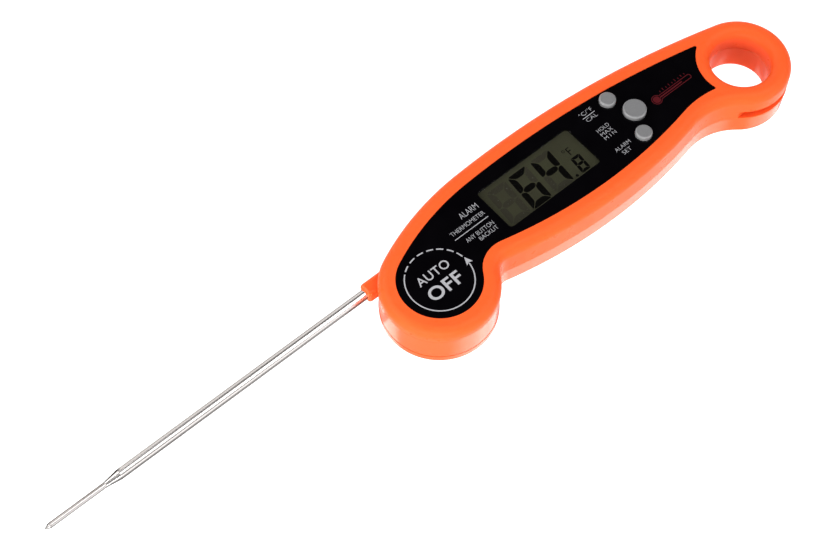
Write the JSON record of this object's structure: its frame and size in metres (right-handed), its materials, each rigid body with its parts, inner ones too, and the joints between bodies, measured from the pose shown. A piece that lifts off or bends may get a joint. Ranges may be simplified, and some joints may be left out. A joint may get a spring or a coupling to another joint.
{
  "type": "folding probe thermometer",
  "caption": "Pocket food thermometer: a gloss orange body with a black face and display, and a thin stepped steel probe that folds beside it; hanging ring at the other end.",
  "frame": {"origin": "where the fold pivot's axis meets the back face", "axes": "+X from the pivot to the hanging ring, along the display; +Z out of the display"},
  "size_m": [0.2717, 0.0441, 0.0184],
  "materials": {
    "orange_shell": "gloss moulded plastic, orange",
    "black_panel": "gloss black printed face",
    "clear_window": "clear gloss",
    "lcd": "dark grey-green display",
    "white_plastic": "matte",
    "button_grey": "satin grey",
    "conductive_rubber": "striped elastomer",
    "diffuser": "frosted acrylic",
    "circuit_board": "solder resist",
    "chip_black": "moulded epoxy",
    "membrane": "silicone",
    "seal_rubber": "nitrile rubber",
    "probe_steel": "drawn stainless steel",
    "bright_steel": "plated",
    "contact_metal": "sprung strip",
    "resin": "potting resin",
    "lead_sleeve": "sleeved lead"
  },
  "bodies": {
    "housing": {"front_shell": "orange_shell", "back_shell": "orange_shell", "housing_gasket": "seal_rubber", "face_panel": "black_panel", "display_window": "clear_window", "lcd_glass": "lcd", "lcd_frame": "white_plastic", "zebra_strip": "conductive_rubber", "backlight_diffuser": "diffuser", "backlight_leds": "white_plastic", "main_board": "circuit_board", "controller_chip": "chip_black", "clock_crystal": "bright_steel", "chip_components": "chip_black", "reed_switch": "chip_black", "buzzer": "chip_black", "dome_switches": "bright_steel", "keypad_membrane": "membrane", "coin_cell": "bright_steel", "battery_holder": "white_plastic", "battery_contact_negative": "contact_metal", "battery_contact_positive": "contact_metal", "back_magnets": "bright_steel", "housing_screws": "bright_steel", "board_screws": "bright_steel", "pivot_screw": "bright_steel", "friction_washer": "white_plastic", "pivot_seal_upper": "seal_rubber", "pivot_seal_lower": "seal_rubber", "sensor_lead_body": "lead_sleeve"},
    "probe": {"probe_hub": "orange_shell", "probe_tube": "probe_steel", "probe_potting": "resin", "thermistor_bead": "chip_black", "sensor_lead_probe": "lead_sleeve", "hub_magnet": "bright_steel"},
    "hold_button": {"button_hold": "button_grey"},
    "unit_button": {"button_unit": "button_grey"},
    "alarm_button": {"button_alarm": "button_grey"},
    "battery_door": {"battery_cover": "orange_shell", "battery_cover_seal": "seal_rubber"}
  },
  "joints": [
    {"name": "probe_fold", "type": "hinge", "parent": "housing", "child": "probe", "pos_m": [0, 0, 0.0077], "axis": [0, 0, 1], "range_deg": [0, 180]},
    {"name": "hold_press", "type": "slide", "parent": "housing", "child": "hold_button", "axis": [0, 0, -1], "range_m": [0, 0.0007], "stiffness_N_per_m": 1500},
    {"name": "unit_press", "type": "slide", "parent": "housing", "child": "unit_button", "axis": [0, 0, -1], "range_m": [0, 0.0007], "stiffness_N_per_m": 1500},
    {"name": "alarm_press", "type": "slide", "parent": "housing", "child": "alarm_button", "axis": [0, 0, -1], "range_m": [0, 0.0007], "stiffness_N_per_m": 1500},
    {"name": "battery_door_turn", "type": "hinge", "parent": "housing", "child": "battery_door", "pos_m": [0.084, 0.0055, 0.001], "axis": [0, 0, -1], "range_deg": [0, 40]}
  ]
}
